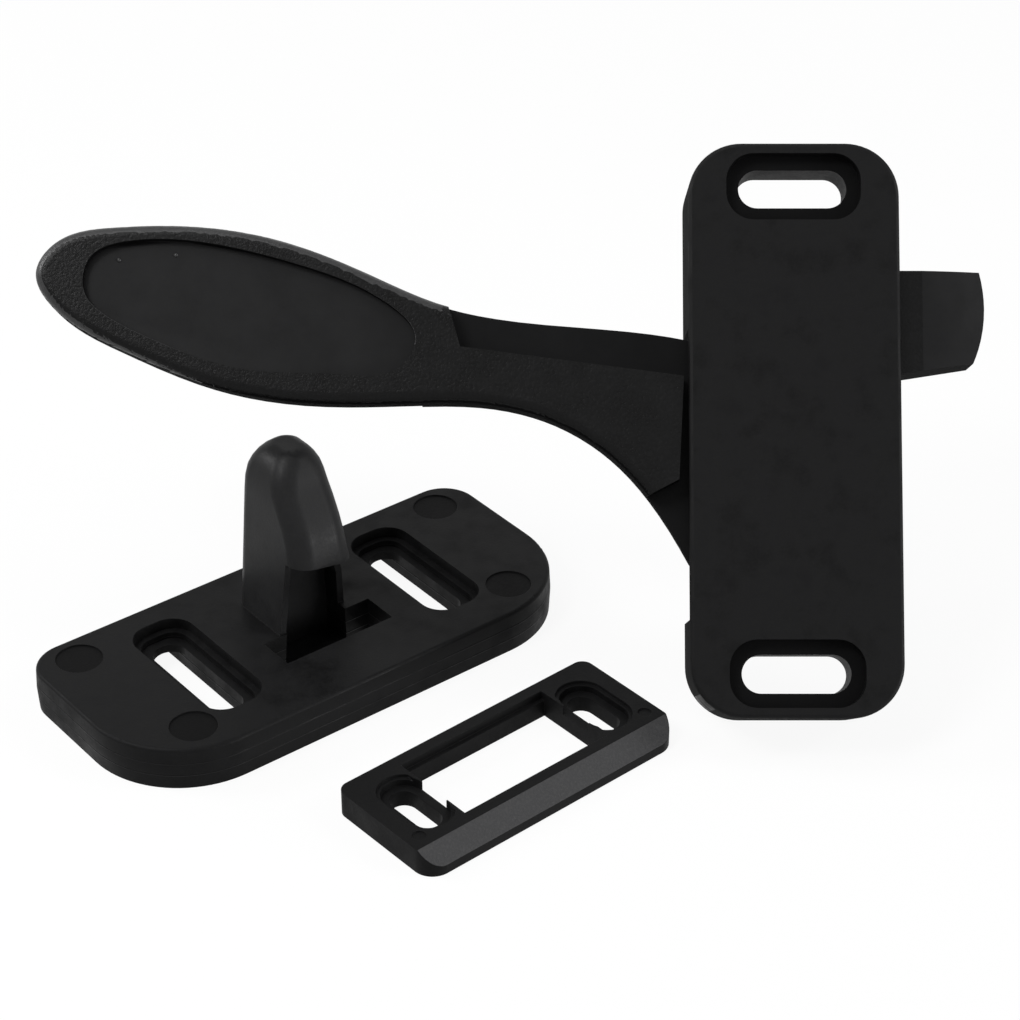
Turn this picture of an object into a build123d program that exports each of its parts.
"""Surface-mounted screen door latch kit, in millimetres.

Three separate items lie together on one bench: the latch, the outside pull plate and the strike.

The latch is a moulded cover that is screwed to the inside of the door over a one-piece lever.
The lever is a bell crank. Its long paddle stands out to the left, its tongue to the right, and it
turns on a post inside the cover. A torsion spring round the post holds the tongue out.
Pushing the paddle down draws the tongue in.

Each piece is modelled where it works, in the frame of its own item, and the item is then put on
the bench. A latch-frame point is x across the cover, y along it and z out of the door.
"""
import math
import os

from build123d import *

os.makedirs("parts", exist_ok=True)

# Cover of the latch
cover_length = 101.6
cover_width = 37.3
cover_corner = 9.5
cover_depth = 17.0
cover_skin = 2.4
cover_wall = 2.0
cover_face_edge = 0.8
slot_to_cavity = 7.5
cavity_corner = 3.0

# Mounting slots of the cover
slot_inset = 7.8
slot_length = 19.2
slot_width = 6.8
slot_recess_length = 23.8
slot_recess_width = 11.9
slot_recess_corner = 4.9
slot_recess_depth = 2.8
slot_collar_height = 8.2
slot_core_length = 22.4
slot_core_width = 10.4
slot_core_corner = 3.0

# Pivot, the bush on its post and the washer under the lever
pivot_above_cavity_end = 12.7
post_radius = 3.0
bush_wall = 1.2
press_clearance = 0.02
running_clearance = 0.05
washer_thickness = 0.8
washer_radius = 8.2
lever_side_play = 0.2

# Back plate and its screws
back_plate_thickness = 1.2
back_plate_short = 0.4
back_plate_corner = 1.5
back_plate_clearance = 0.15
ear_width = 4.6
ear_reach = 6.0
ear_screw_inset = 2.2
ear_screw_head_radius = 2.0
ear_screw_radius = 1.1
ear_screw_length = 6.5
pivot_screw_head_radius = 3.4
pivot_screw_radius = 1.75
pivot_screw_length = 11.0
thread_clearance = 0.05
driver_slot_width = 0.6

# Lever: blade, hub and tongue
blade_thickness = 3.0
blade_under_pocket = 1.0
hub_radius = 8.6
hub_top_gap = 0.4
spring_pocket_radius = 6.6
pocket_under_spring = 0.8
arm_width = 9.5
tongue_reach = 34.7
tongue_rise = 32.8
tongue_height = 18.5
tongue_lower_edge_rise = 2.1
tongue_back = 3.5
tongue_face_drop = 0.7
tongue_end_radius = 24.0
tongue_ramp_start = 23.0
tongue_ramp_drop = 2.6
lever_travel = 15.0

# Lever: grip and paddle
lever_reach = 134.1
grip_beside_cover = 0.85
grip_over_blade = 1.5
grip_thickness = 6.0
grip_edge = 2.0
paddle_recess_depth = 1.8
paddle_floor = 1.8
paddle_core_share = 0.95
paddle_rib = 1.6
paddle_rib_count = 4

# Return spring
spring_wire = 1.0
spring_mean_radius = 5.3
spring_turns = 2.25
spring_head_gap = 0.9
spring_rise = 3.4
spring_lever_leg = 15.0
spring_cover_leg = 13.0
spring_peg_radius = 1.3
spring_peg_height = 1.7

# Windows in the cover's side walls
window_top_gap = 0.3
left_window_below_pivot = 10.7
left_window_above_pivot = 40.6
right_window_short = 0.1
sill_gap = 0.3

# Pull plate
pull_length = 97.5
pull_width = 43.9
pull_front_corner = 19.3
pull_back_corner = 7.1
pull_thickness = 8.4
pull_draft = 3.0
pull_edge = 0.7
pull_wall = 2.4
pull_skin = 2.8
pull_slot_spacing = 48.8
pull_slot_shift = 1.3
pull_slot_length = 24.4
pull_slot_width = 6.4
pull_recess_length = 30.4
pull_recess_width = 12.0
pull_recess_corner = 4.6
pull_recess_depth = 2.2
pull_step_narrower = 2.6
pull_step_depth = 3.4
pull_rib = 1.6
pull_opening_length = 23.2
pull_opening_front = -9.0
pull_opening_back = -1.5
ejector_radius = 4.3
ejector_depth = 0.25
ejector_back = (40.2, 15.6)
ejector_front = (35.0, -13.9)

# Horn of the pull plate
horn_height = 33.6
horn_left = -7.95
horn_left_taper = 2.85
horn_back = 13.2
horn_front_corner = 3.8
horn_back_corner = 2.8
horn_wall = 1.3
horn_web = 1.2
horn_web_front = 4.5
horn_foot_left = -1.2
horn_foot_right = 0.8
horn_lean_left = 1.0
horn_lip_left = 15.7
horn_lip_crest = 15.5
horn_lip_right = 13.9

# Strike
strike_length = 57.2
strike_width = 25.1
strike_front_corner = 3.9
strike_back_corner = 2.2
strike_thickness = 5.1
strike_bevel = 3.2
strike_opening_length = 32.4
strike_opening_front = -7.0
strike_opening_back = 9.2
strike_slot_spacing = 41.0
strike_slot_shift = 0.9
strike_slot_length = 11.4
strike_slot_width = 5.0
strike_recess_length = 14.6
strike_recess_width = 8.0
strike_recess_depth = 1.9
strike_rim_width = 0.7
strike_rim_depth = 0.6
strike_ledge_width = 0.9
strike_ledge_depth = 1.6
strike_mark_radius = 1.2
strike_mark_depth = 0.25
strike_mark = (25.9, -6.6)

# How the three items lie on the bench
cover_lean = 38.5
latch_place = (50.1, -69.0)
pull_place = (-36.38, -48.89)
pull_turn = 38.4
strike_place = (0.0, -85.25)
strike_turn = 41.0

# Lengths along the cover, from its middle
slot_spacing = cover_length - 2 * slot_inset
cavity_length = slot_spacing - 2 * slot_to_cavity
back_plate_length = slot_spacing - 2 * back_plate_short
pivot_y = pivot_above_cavity_end - cavity_length / 2
tongue_bottom = pivot_y + tongue_rise
pivot = (0, pivot_y)

# Widths and heights inside the cover, from the door up
inner_width = cover_width - 2 * cover_wall
ceiling = cover_depth - cover_skin
bush_radius = post_radius + bush_wall
hub_back = back_plate_thickness + washer_thickness + lever_side_play
hub_front = ceiling - hub_top_gap
tongue_front = hub_front - tongue_face_drop
spring_last_z = ceiling - spring_head_gap
spring_first_z = spring_last_z - spring_rise
spring_pocket_floor = spring_first_z - pocket_under_spring
blade_back = spring_pocket_floor - blade_under_pocket
grip_back = blade_back + grip_over_blade
grip_root = -cover_width / 2 - grip_beside_cover


def prism(outline, low, high):
    """Raise a flat outline from height low to height high."""
    return Pos(0, 0, low) * extrude(outline, high - low)


def disc(radius, low, high, at=(0, 0)):
    return Pos(at[0], at[1], 0) * prism(Circle(radius), low, high)


def block(x_range, y_range, z_range):
    size = [b - a for a, b in (x_range, y_range, z_range)]
    middle = [(a + b) / 2 for a, b in (x_range, y_range, z_range)]
    return Pos(*middle) * Box(*size)


def countersunk_screw(head_radius, radius, length, at):
    """Self-tapping screw whose flat head lies in the plane z = 0 and whose point is at +z."""
    cone = head_radius - radius
    head = Pos(0, 0, cone / 2) * Cone(head_radius, radius, cone)
    shank = disc(radius, cone, length - radius)
    point = Pos(0, 0, length - radius / 2) * Cone(radius, radius / 4, radius)
    cross = Box(driver_slot_width, head_radius, cone) + Box(head_radius, driver_slot_width, cone)
    return Pos(at[0], at[1], 0) * (head + shank + point - cross)


def screw_hole(head_radius, radius, depth, at):
    """Countersink and hole that leave a thread's clearance round a screw."""
    wide = head_radius + thread_clearance
    narrow = radius + thread_clearance
    cone = Pos(0, 0, (wide - narrow) / 2) * Cone(wide, narrow, wide - narrow)
    return Pos(at[0], at[1], 0) * (cone + disc(narrow, 0, depth))


def ear_screw_places():
    x = inner_width / 2 - back_plate_clearance - ear_width / 2
    y = back_plate_length / 2 - ear_screw_inset - ear_screw_radius
    return [(sx * x, sy * y) for sx in (-1, 1) for sy in (-1, 1)]


def back_plate_outline(grow):
    """H-shaped outline: a plate over the cavity with an ear beside each end of each slot."""
    width = inner_width - 2 * back_plate_clearance + 2 * grow
    notch_width = inner_width - 2 * back_plate_clearance - 2 * ear_width - 2 * grow
    length = back_plate_length + 2 * grow
    plate = RectangleRounded(width, length, back_plate_corner)
    for side in (-1, 1):
        edge = side * length / 2
        plate -= Pos(0, edge) * Rectangle(notch_width, 2 * ear_reach)
    return plate


def on_lever(points):
    """Points given as percent of the lever's reach to the left, and height above the pivot."""
    return [(-lever_reach * share / 100, pivot_y + height) for share, height in points]


def lever_silhouette():
    """Outline of the paddle, neck and blade seen from the front, closed round the hub."""
    root_top = (0.15 - cover_width / 2, pivot_y + 39.1)
    root_bottom = (-0.15 - cover_width / 2, pivot_y)
    upper = on_lever([(28.0, 41.4), (40.7, 43.3), (47.0, 45.4), (55.4, 50.2), (68.1, 56.7), (80.8, 59.2),
                      (90.1, 58.9), (97.2, 56.4), (100.0, 50.8)])
    lower = on_lever([(97.6, 44.5), (89.1, 37.3), (76.4, 30.4), (63.7, 27.5), (51.1, 27.5), (40.6, 27.3),
                      (32.2, 24.6), (23.8, 17.7), (17.8, 8.4)])
    rim = Spline([root_top] + upper + lower + [root_bottom])
    angle = math.radians(35)
    reach = hub_radius - 0.8
    hub_left = (pivot[0] - reach * math.sin(angle), pivot_y - reach * math.cos(angle))
    hub_right = (pivot[0] + reach, pivot_y)
    tail = Spline([root_bottom, (-12.5, pivot_y - 4.8), hub_left], tangents=[rim % 1, (0.82, -0.57)])
    under_hub = RadiusArc(hub_left, hub_right, -reach)
    arm_edge = Line(hub_right, (13.2, tongue_bottom + 2.7))
    riser = Line(arm_edge @ 1, (11.6, tongue_bottom + 12.4))
    shoulder = Spline([riser @ 1, (4.0, pivot_y + 41.8), root_top], tangents=[(-1, -0.5), (-1, 0.13)])
    return make_face([rim, tail, under_hub, arm_edge, riser, shoulder])


def tongue_root_x():
    return cover_width / 2 - cover_wall


def paddle_recess_outline(share=1.0):
    """Egg-shaped dish in the paddle's face, or the same shape drawn in towards its middle."""
    middle = on_lever([(72.0, 44.1)])[0]
    points = on_lever([(93.6, 48.8), (92.3, 53.8), (86.8, 56.3), (74.6, 55.2), (63.4, 51.2), (53.0, 44.6),
                       (49.8, 39.0), (51.9, 33.7), (59.3, 32.4), (72.6, 33.4), (84.6, 38.8), (91.5, 43.9)])
    drawn_in = [(middle[0] + share * (x - middle[0]), middle[1] + share * (y - middle[1])) for x, y in points]
    return make_face([Spline(drawn_in, periodic=True)])


def grip():
    """Thick outer part of the lever: paddle with its dish, and the pad beside the neck's shelf."""
    front = grip_back + grip_thickness
    beyond = 2 * lever_reach
    shelf = on_lever([(47.8, 82.8), (45.6, 45.3), (43.9, 37.4), (28.0, 34.6)])
    pad = [(grip_root, pivot_y + 32.2), (grip_root - 0.9, pivot_y + 13.9)]
    under = on_lever([(23.7, 8.0), (44.5, -37.2)])
    area = Polyline([(-beyond, beyond), (shelf[0][0], beyond)] + shelf + pad + under + [(-beyond, -beyond)],
                    close=True)
    solid = prism(lever_silhouette() & make_face(area), grip_back, front)
    rim = solid.faces().sort_by(Axis.Z)[-1].edges()
    longest = rim.sort_by(SortBy.LENGTH)[-1]
    solid = fillet(longest, grip_edge)
    dish = prism(paddle_recess_outline(), front - paddle_recess_depth, front + 1)
    core_top = front - paddle_recess_depth - paddle_floor
    core = prism(paddle_recess_outline(paddle_core_share), grip_back - 1, core_top)
    for i in range(paddle_rib_count):
        x = lever_reach * (0.104 * i - 0.875)
        core -= block((x - paddle_rib / 2, x + paddle_rib / 2), (-beyond, beyond), (0, 2 * cover_depth))
    return solid - dish - core


def lever():
    """One moulding: grip, thin blade, hub on the pivot, arm and tongue."""
    blade_end = lever_reach * 0.49
    blade_area = Pos((cover_width - blade_end) / 2, 0) * Rectangle(cover_width + blade_end, 2 * cover_length)
    blade = prism(lever_silhouette() & blade_area, blade_back, blade_back + blade_thickness)
    body = grip() + blade
    body += disc(hub_radius, hub_back, hub_front, pivot)
    body += prism(arm_outline(), hub_back + 0.3, hub_front - 0.2)
    body += tongue()
    body -= disc(spring_pocket_radius, spring_pocket_floor, cover_depth, pivot)
    body -= disc(bush_radius + running_clearance, 0, cover_depth, pivot)
    body -= lever_leg_channel()
    return body - cover_leg_gap()


def arm_outline():
    """Thick arm from the hub up to the tongue."""
    foot = (pivot[0] + hub_radius - 1.6, pivot_y + 1.0)
    head = (12.6, tongue_bottom + 3.3)
    points = [foot, head, (14.6, head[1] + 2.0), (9.0, tongue_bottom + 11.8),
              (head[0] - arm_width, tongue_bottom), (pivot[0] - 0.5, pivot_y + 7.0)]
    return make_face(Polyline(points, close=True))


def tongue():
    """Bolt that enters the strike, with a ramp on its outer half and a rounded end."""
    root = 10.0
    bottom = tongue_bottom
    top = tongue_bottom + tongue_height
    front = tongue_front
    end_top = (tongue_reach - 1.3, top)
    end_bottom = (tongue_reach - 2.6, bottom + tongue_lower_edge_rise)
    outline = [Line((root, bottom), (tongue_root_x() + 2, bottom)), Line((tongue_root_x() + 2, bottom), end_bottom),
               RadiusArc(end_bottom, end_top, -tongue_end_radius), Line(end_top, (tongue_root_x(), top)),
               Line((tongue_root_x(), top), (root, top - 3.6)), Line((root, top - 3.6), (root, bottom))]
    solid = prism(make_face(outline), tongue_back, front)
    past_end = tongue_reach + 0.5
    slope = Spline([(tongue_ramp_start, front), (past_end, front - tongue_ramp_drop)],
                   tangents=[(1, -0.12), (1, -0.34)])
    ramp = [slope, Line((past_end, front - tongue_ramp_drop), (past_end, front + 2)),
            Line((past_end, front + 2), (tongue_ramp_start, front + 2)),
            Line((tongue_ramp_start, front + 2), (tongue_ramp_start, front))]
    return solid - Pos(0, cover_length, 0) * extrude(Plane.XZ * make_face(ramp), 2 * cover_length)


def lever_leg_channel():
    """Groove in the arm for the spring leg that pushes the lever."""
    x = pivot[0] + spring_mean_radius
    half = spring_wire / 2 + running_clearance
    y_end = pivot_y + spring_lever_leg + spring_wire
    return block((x - half - 0.4, x + half), (pivot_y, y_end), (spring_first_z - half, cover_depth))


def cover_leg_gap():
    """Gap in the hub's rim that clears the fixed spring leg over the lever's travel."""
    low = spring_last_z - spring_wire / 2 - 0.4
    start = math.radians(210 + lever_travel / 2 - 26)
    stop = math.radians(210 + lever_travel / 2 + 28)
    reach = 2 * hub_radius
    corners = [pivot]
    for step in range(4):
        angle = start + (stop - start) * step / 3
        corners.append((pivot[0] + reach * math.cos(angle), pivot_y + reach * math.sin(angle)))
    return prism(make_face(Polyline(corners, close=True)), low, cover_depth)


def cover():
    """Moulded cover: shell with solid ends round the slots, side windows, pivot post and spring peg."""
    body = prism(RectangleRounded(cover_width, cover_length, cover_corner), 0, cover_depth)
    body = fillet(body.faces().sort_by(Axis.Z)[-1].edges(), cover_face_edge)
    body -= prism(RectangleRounded(inner_width, cavity_length, cavity_corner), 0, ceiling)
    body -= prism(back_plate_outline(back_plate_clearance), 0, back_plate_thickness)
    for side in (-1, 1):
        y = side * slot_spacing / 2
        body -= Pos(0, y, 0) * prism(SlotOverall(slot_length, slot_width), 0, cover_depth)
        recess = RectangleRounded(slot_recess_length, slot_recess_width, slot_recess_corner)
        recess_floor = cover_depth - slot_recess_depth
        body -= Pos(0, y, 0) * prism(recess, recess_floor, cover_depth)
        core = RectangleRounded(slot_core_length, slot_core_width, slot_core_corner)
        body -= Pos(0, y, 0) * prism(core, 0, recess_floor - slot_collar_height)
    window_top = hub_front + window_top_gap / 2
    right_sill = tongue_bottom - sill_gap
    half = cover_width / 2
    left_window = (pivot_y - left_window_below_pivot, pivot_y + left_window_above_pivot)
    right_window = (right_sill, cavity_length / 2 - right_window_short)
    body -= block((-half - 1, -half + cover_wall + 1), left_window, (-1, window_top))
    body -= block((half - cover_wall - 1, half + 1), right_window, (-1, window_top))
    body += disc(post_radius, back_plate_thickness, ceiling, pivot)
    body -= screw_hole(pivot_screw_head_radius, pivot_screw_radius, pivot_screw_length + 0.4, pivot)
    for at in ear_screw_places():
        body -= screw_hole(ear_screw_head_radius, ear_screw_radius, ear_screw_length + 0.4, at)
    peg_y = pivot_y - spring_mean_radius - spring_wire / 2 - spring_peg_radius - running_clearance
    peg_x = pivot[0] - spring_cover_leg + spring_peg_radius
    return body + disc(spring_peg_radius, ceiling - spring_peg_height, ceiling, (peg_x, peg_y))


def back_plate():
    """Thin plate that closes the cover's back and keeps the lever on its post."""
    plate = prism(back_plate_outline(0), 0, back_plate_thickness)
    plate -= screw_hole(pivot_screw_head_radius, pivot_screw_radius, back_plate_thickness, pivot)
    for at in ear_screw_places():
        plate -= screw_hole(ear_screw_head_radius, ear_screw_radius, back_plate_thickness, at)
    return plate


def pivot_bush():
    return disc(bush_radius, back_plate_thickness, ceiling, pivot) - disc(
        post_radius + press_clearance, 0, cover_depth, pivot)


def pivot_washer():
    high = back_plate_thickness + washer_thickness
    ring = disc(washer_radius, back_plate_thickness, high, pivot)
    return ring - disc(bush_radius + running_clearance, 0, high, pivot)


def return_spring():
    """Torsion spring: two and a quarter turns, one leg along the arm and one against the peg."""
    coil = Pos(0, 0, spring_first_z) * Helix(pitch=spring_rise / spring_turns, height=spring_rise,
                                             radius=spring_mean_radius, lefthand=True)
    arm_leg = Line((spring_mean_radius, spring_lever_leg, spring_first_z), coil @ 0)
    peg_leg = Line(coil @ 1, (-spring_cover_leg, (coil @ 1).Y, spring_last_z))
    path = Wire([arm_leg.edge(), coil.edge(), peg_leg.edge()])
    section = Plane(path @ 0, z_dir=path % 0) * Circle(spring_wire / 2)
    wire = sweep(section, path=path, transition=Transition.TRANSFORMED, is_frenet=True)
    return Pos(pivot[0], pivot_y, 0) * wire


def spring_self_gap():
    """Least gap of the wire to itself, measured on points along its middle line."""
    step = 0.25
    line = [(spring_mean_radius, y * step, 0) for y in range(int(spring_lever_leg / step), 0, -1)]
    coil_length = math.hypot(2 * math.pi * spring_mean_radius * spring_turns, spring_rise)
    count = int(coil_length / step)
    for i in range(count + 1):
        angle = -2 * math.pi * spring_turns * i / count
        line.append((spring_mean_radius * math.cos(angle), spring_mean_radius * math.sin(angle),
                     spring_rise * i / count))
    end = line[-1]
    for i in range(1, int(spring_cover_leg / step)):
        line.append((end[0] - i * step, end[1], end[2]))
    apart = int(math.pi * spring_mean_radius / step)
    gaps = [math.dist(line[i], line[j]) for i in range(len(line)) for j in range(i + apart, len(line))]
    return min(gaps) - spring_wire


def two_radius_outline(length, width, front_corner, back_corner):
    """Rectangle whose two front corners and two back corners are rounded differently."""
    outline = Rectangle(length, width)
    outline = fillet(outline.vertices().group_by(Axis.Y)[0], front_corner)
    return fillet(outline.vertices().group_by(Axis.Y)[-1], back_corner)


def pull_outline(inset):
    return two_radius_outline(pull_length - 2 * inset, pull_width - 2 * inset, pull_front_corner - inset,
                              pull_back_corner - inset)


def horn_section(percent, front, right, inset, drawn_in, shoulder):
    """Cross-section of the horn at a percentage of its height over the plate.

    inset thins the whole section, drawn_in rounds the tip and shoulder rounds its left side more.
    """
    left = horn_left + horn_left_taper * percent / 100 + shoulder + inset + drawn_in
    right = right - inset - drawn_in
    front = front + inset + drawn_in
    back = horn_back - inset - drawn_in
    outline = Rectangle(right - left, back - front)
    widest = 0.46 * min(right - left, back - front)
    front_round = min(horn_front_corner - inset, widest)
    back_round = min(horn_back_corner - inset, widest)
    outline = fillet(outline.vertices().group_by(Axis.Y)[0], front_round)
    outline = fillet(outline.vertices().group_by(Axis.Y)[-1], back_round)
    height = pull_thickness + horn_height * percent / 100
    return Pos((left + right) / 2, (front + back) / 2, height) * outline


def horn_shape(inset, low):
    """Horn from height low to its tip, or the same drawn in by inset and stopped below the tip."""
    foot = 100 * (low - pull_thickness) / horn_height
    levels = [(foot, -6.9, 7.8, 0, 0), (21, -6.9, 7.5, 0, 0), (33, -6.8, 6.6, 0, 0), (46, -6.4, 5.9, 0, 0),
              (56, -5.6, 5.8, 0, 0), (65, -4.2, 5.9, 0, 0), (74, -2.2, 6.1, 0, 0), (81, -0.5, 6.2, 0, 0.1),
              (87, 0.5, 6.3, 0.1, 0.4)]
    if inset == 0:
        levels += [(91, 0.9, 6.4, 0.4, 0.7), (94.5, 1.1, 6.4, 0.9, 1.0), (97, 1.2, 6.4, 1.5, 1.2),
                   (98.7, 1.3, 6.4, 2.2, 1.3), (99.7, 1.4, 6.4, 2.9, 1.3), (100, 1.5, 6.4, 3.5, 1.3)]
    sections = [horn_section(percent, front, right, inset, drawn_in, shoulder)
                for percent, front, right, drawn_in, shoulder in levels]
    return loft(sections, ruled=True)


def under_horn_lip():
    """Space in front of the horn's side walls, up to the lip that reaches out over the opening."""
    base = pull_thickness
    lip = [(-20, base + horn_lip_left), (horn_left, base + horn_lip_left), (-4.3, base + horn_lip_crest),
           (5.6, base + horn_lip_right), (20, base + horn_lip_right), (20, base), (-20, base)]
    across = Pos(0, -30, 0) * extrude(Plane.XZ * make_face(Polyline(lip, close=True)), -60)
    top = base + horn_lip_crest + 1
    lean = horn_lean_left * (horn_lip_crest + 1) / horn_lip_left
    side = Polyline([(-30, base), (horn_foot_left, base), (horn_foot_left - lean, top), (-30, top)], close=True)
    left = Pos(-20, 0, 0) * extrude(Plane.YZ * make_face(side), 40)
    right = block((0, 20), (-30, horn_foot_right), (base, top))
    return across & (left + right)


def horn_hollow():
    """Pocket behind the opening under the lip, and the core behind the web that closes it."""
    inner = horn_shape(horn_wall, -1)
    pocket = inner & block((-20, 20), (-30, horn_web_front), (horn_web, 60))
    pocket -= block((-20, 20), (-30, pull_opening_back), (-1, pull_thickness))
    core = inner & block((-20, 20), (horn_web_front + horn_web, 30), (-1, 60))
    return pocket + core


def pull_plate():
    """Outside plate: hollow back, stepped slots, T-shaped opening and the hollow horn over it."""
    middle = pull_thickness / 2
    body = Pos(0, 0, middle) * extrude(pull_outline(0), middle, taper=pull_draft)
    body += Pos(0, 0, middle) * extrude(pull_outline(0), -middle, taper=pull_draft)
    body = fillet(body.faces().sort_by(Axis.Z)[-1].edges(), pull_edge)
    body += horn_shape(0, pull_thickness - pull_skin)
    roof = pull_thickness - pull_skin
    opening_half = pull_opening_length / 2
    hollow = prism(pull_outline(pull_wall), 0, roof)
    hollow -= block((-opening_half - pull_rib, opening_half + pull_rib),
                    (pull_opening_front - pull_rib, horn_back), (-1, roof))
    well_floor = pull_thickness - pull_recess_depth
    step_floor = pull_thickness - pull_step_depth
    well = RectangleRounded(pull_recess_width, pull_recess_length, pull_recess_corner)
    step = RectangleRounded(pull_recess_width - pull_step_narrower, pull_recess_length - pull_step_narrower,
                            pull_recess_corner - pull_step_narrower / 2)
    for side in (-1, 1):
        x = side * pull_slot_spacing / 2
        for edge in (-1, 1):
            rib_x = x + edge * (pull_slot_width + pull_rib) / 2
            hollow -= block((rib_x - pull_rib / 2, rib_x + pull_rib / 2), (-pull_width, pull_width), (0.7, roof))
        hollow -= Pos(x, pull_slot_shift, 0) * prism(well, step_floor - pull_rib, roof)
    body -= hollow
    for side in (-1, 1):
        at = Pos(side * pull_slot_spacing / 2, pull_slot_shift, 0)
        body -= at * prism(well, well_floor, pull_thickness)
        body -= at * prism(step, step_floor, pull_thickness)
        body -= at * prism(SlotOverall(pull_slot_length, pull_slot_width, 90), 0, pull_thickness)
    for mark in (ejector_back, ejector_front):
        for side in (-1, 1):
            body -= disc(ejector_radius, pull_thickness - ejector_depth, pull_thickness + 1,
                         (side * mark[0], mark[1]))
    body -= block((-opening_half, opening_half), (pull_opening_front, pull_opening_back), (-1, pull_thickness + 1))
    return body - horn_hollow() - under_horn_lip()


def strike_plate():
    """Keeper: bevelled frame with one opening for the tongue and a stepped slot at each end."""
    outline = two_radius_outline(strike_length, strike_width, strike_front_corner, strike_back_corner)
    body = prism(outline, 0, strike_thickness)
    front = -strike_width / 2
    low = strike_thickness - strike_bevel
    wedge = Polyline([(front - 1, low - 1), (front + strike_bevel + 1, strike_thickness + 1),
                      (front - 1, strike_thickness + 1)], close=True)
    body -= Pos(-strike_length, 0, 0) * extrude(Plane.YZ * make_face(wedge), 2 * strike_length)
    half = strike_opening_length / 2
    top = strike_thickness
    body -= block((-half, half), (strike_opening_front, strike_opening_back), (-1, top + 1))
    body -= block((-half, half), (strike_opening_back - 1, strike_opening_back + strike_ledge_width),
                  (top - strike_ledge_depth, top + 1))
    for side in (-1, 1):
        x = side * strike_slot_spacing / 2
        at = Pos(x, strike_slot_shift, 0)
        body -= at * prism(SlotOverall(strike_slot_length, strike_slot_width, 90), -1, top)
        body -= at * prism(SlotOverall(strike_recess_length, strike_recess_width, 90), top - strike_recess_depth, top)
        reach = strike_recess_length / 2 - strike_recess_width / 2
        inner = sorted((x, side * (half - 1)))
        body -= block(inner, (strike_slot_shift - reach, strike_slot_shift + reach), (top - strike_recess_depth, top))
        rim = SlotOverall(strike_recess_length + 2 * strike_rim_width, strike_recess_width + 2 * strike_rim_width, 90)
        rim_end = half + strike_rim_width
        outside = block(sorted((side * rim_end, side * strike_length)), (-strike_width, strike_width), (0, top))
        body -= (at * prism(rim, top - strike_rim_depth, top)) & outside
        body -= disc(strike_mark_radius, top - strike_mark_depth, top + 1, (side * strike_mark[0], strike_mark[1]))
    return body


def on_bench(place, turn):
    return Pos(place[0], place[1], 0) * Rot(0, 0, turn)


latch_frame = Pos(latch_place[0], latch_place[1], 0) * Rot(90 - cover_lean, 0, 0) * Pos(0, cover_length / 2, 0)
pull_frame = on_bench(pull_place, pull_turn)
strike_frame = on_bench(strike_place, strike_turn)

screws = [countersunk_screw(ear_screw_head_radius, ear_screw_radius, ear_screw_length, at)
          for at in ear_screw_places()]
pieces = {
    "latch_housing": latch_frame * cover(),
    "latch_lever": latch_frame * lever(),
    "pivot_bush": latch_frame * pivot_bush(),
    "pivot_washer": latch_frame * pivot_washer(),
    "pivot_screw": latch_frame * countersunk_screw(pivot_screw_head_radius, pivot_screw_radius,
                                                   pivot_screw_length, pivot),
    "return_spring": latch_frame * return_spring(),
    "back_plate": latch_frame * back_plate(),
    "back_plate_screws": latch_frame * Compound(children=screws),
    "pull_plate": pull_frame * pull_plate(),
    "strike_plate": strike_frame * strike_plate(),
}

# The origin is the middle of the kit's footprint, on the bench
box = Compound(children=[Compound(children=[copy]) for copy in [Pos(0, 0, 0) * p for p in pieces.values()]]
               ).bounding_box()
to_origin = Pos(-box.center().X, -box.center().Y, -box.min.Z)
for name, piece in pieces.items():
    export_step(to_origin * piece, f"parts/{name}.step")


def report(label, point, direction=None):
    """Print a point of the row frame in metres, with a direction where one is given."""
    text = [round(value / 1000, 6) for value in (point.X, point.Y, point.Z)]
    line = f"{label} {text}"
    if direction is not None:
        line += f" axis {[round(value, 6) for value in (direction.X, direction.Y, direction.Z)]}"
    print(line)


def frame_point(frame, x, y, z):
    return (to_origin * frame * Pos(x, y, z)).position


def frame_direction(frame, x, y, z):
    return frame_point(frame, x, y, z) - frame_point(frame, 0, 0, 0)


report("pivot", frame_point(latch_frame, *pivot, 0), frame_direction(latch_frame, 0, 0, 1))
report("latch_back_face", frame_point(latch_frame, 0, 0, 0), frame_direction(latch_frame, 0, 0, -1))
report("pull_plate_back", frame_point(pull_frame, 0, 0, 0), Vector(0, 0, -1))
report("strike_back", frame_point(strike_frame, 0, 0, 0), Vector(0, 0, -1))
print("box", box.size)
print("spring gap to itself", round(spring_self_gap(), 3))
